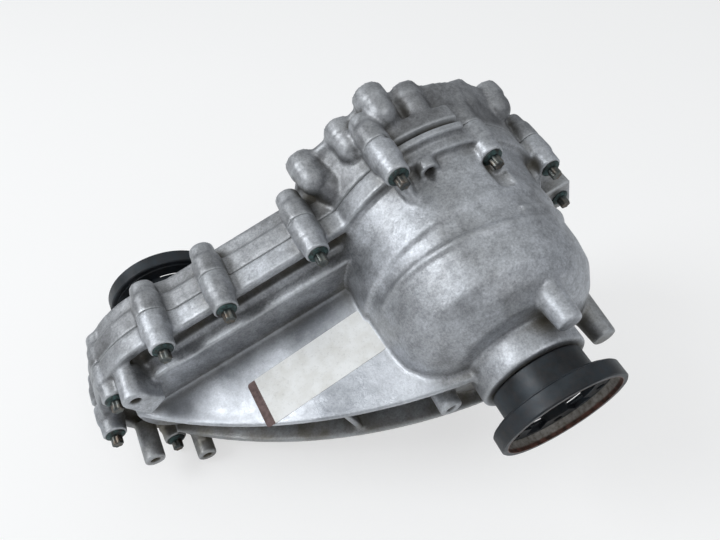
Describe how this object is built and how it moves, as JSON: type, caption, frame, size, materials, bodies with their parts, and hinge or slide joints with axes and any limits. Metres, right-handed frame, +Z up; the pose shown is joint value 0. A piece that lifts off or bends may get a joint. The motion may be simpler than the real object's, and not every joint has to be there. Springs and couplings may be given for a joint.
{
  "type": "transfer case",
  "caption": "Cast transfer case with a domed housing, chain-driven side output, dished output flanges and a scalloped face that bolts to a transmission.",
  "frame": {"origin": "centre of the register bore in the transmission mounting face, on the main axis", "axes": "+Y forward along the main axis to the transmission, +Z up as installed, front output towards -X and 20 degrees lower"},
  "size_m": [0.4801, 0.303, 0.3062],
  "materials": {
    "casting": "as-cast aluminium, weathered grey with dirt in the recesses",
    "fastener": "zinc-passivated steel, blue-green and brown",
    "rubber_seal": "black rubber",
    "bearing_steel": "ground bearing steel",
    "bush_bronze": "bearing bronze",
    "gear_steel": "case-hardened steel",
    "shaft_steel": "machined steel",
    "flange_black": "satin blue-black phosphate",
    "nut_steel": "dark steel"
  },
  "bodies": {
    "casing": {"rear_case": "casting", "front_case": "casting", "case_bolts": "fastener", "dowel_sleeves": "fastener", "fill_plug": "fastener", "drain_plug": "fastener", "rear_shaft_seal": "rubber_seal", "front_shaft_seal": "rubber_seal", "input_shaft_seal": "rubber_seal", "rear_bearing_outer_ring": "bearing_steel", "rear_bearing_rollers": "bearing_steel", "front_bearing_outer_ring": "bearing_steel", "front_bearing_rollers": "bearing_steel", "drive_bearing_outer_ring": "bearing_steel", "drive_bearing_rollers": "bearing_steel", "tail_bearing_ring": "bearing_steel", "tail_bearing_rollers": "bearing_steel", "drive_chain": "gear_steel"},
    "front_drive": {"sun_gear": "gear_steel", "drive_sprocket": "gear_steel", "drive_bearing_inner_ring": "bearing_steel", "front_input_bush": "bush_bronze", "rear_input_bush": "bush_bronze"},
    "input_carrier": {"input_shaft": "shaft_steel", "carrier_front_plate": "shaft_steel", "carrier_rear_plate": "shaft_steel", "planet_pins": "shaft_steel", "planet_bushes": "bush_bronze"},
    "rear_output": {"rear_output_flange": "flange_black", "rear_flange_nut": "nut_steel", "rear_output_shaft": "shaft_steel", "rear_bearing_inner_ring": "bearing_steel", "ring_gear_drum": "shaft_steel", "ring_gear_circlip": "shaft_steel", "ring_gear": "gear_steel", "pilot_bush": "bush_bronze"},
    "front_output": {"front_output_flange": "flange_black", "front_flange_nut": "nut_steel", "front_output_shaft": "shaft_steel", "front_bearing_inner_ring": "bearing_steel", "driven_sprocket": "gear_steel"},
    "planet_1": {"planet_gear_1": "gear_steel"},
    "planet_2": {"planet_gear_2": "gear_steel"},
    "planet_3": {"planet_gear_3": "gear_steel"},
    "planet_4": {"planet_gear_4": "gear_steel"}
  },
  "joints": [
    {"name": "front_drive_spin", "type": "hinge", "parent": "casing", "child": "front_drive", "pos_m": [0, -0.05, 0], "axis": [0, 1, 0], "continuous": true, "deforming": ["drive_chain"]},
    {"name": "front_output_spin", "type": "hinge", "parent": "casing", "child": "front_output", "pos_m": [-0.23719, -0.02, -0.08633], "axis": [0, 1, 0], "continuous": true},
    {"name": "differential_action", "type": "hinge", "parent": "front_drive", "child": "input_carrier", "pos_m": [0, -0.1, 0], "axis": [0, 1, 0], "continuous": true},
    {"name": "rear_output_spin", "type": "hinge", "parent": "front_drive", "child": "rear_output", "pos_m": [0, -0.2, 0], "axis": [0, 1, 0], "continuous": true},
    {"name": "planet_1_spin", "type": "hinge", "parent": "input_carrier", "child": "planet_1", "pos_m": [0.04933, -0.129, 0.01796], "axis": [0, 1, 0], "continuous": true},
    {"name": "planet_2_spin", "type": "hinge", "parent": "input_carrier", "child": "planet_2", "pos_m": [-0.01796, -0.129, 0.04933], "axis": [0, 1, 0], "continuous": true},
    {"name": "planet_3_spin", "type": "hinge", "parent": "input_carrier", "child": "planet_3", "pos_m": [-0.04933, -0.129, -0.01796], "axis": [0, 1, 0], "continuous": true},
    {"name": "planet_4_spin", "type": "hinge", "parent": "input_carrier", "child": "planet_4", "pos_m": [0.01796, -0.129, -0.04933], "axis": [0, 1, 0], "continuous": true}
  ],
  "couplings": [
    {"joint": "front_output_spin", "follows": "front_drive_spin", "ratio": 1},
    {"joint": "rear_output_spin", "follows": "differential_action", "ratio": 1.5556},
    {"joint": "planet_1_spin", "follows": "differential_action", "ratio": 2.5},
    {"joint": "planet_2_spin", "follows": "differential_action", "ratio": 2.5},
    {"joint": "planet_3_spin", "follows": "differential_action", "ratio": 2.5},
    {"joint": "planet_4_spin", "follows": "differential_action", "ratio": 2.5}
  ]
}
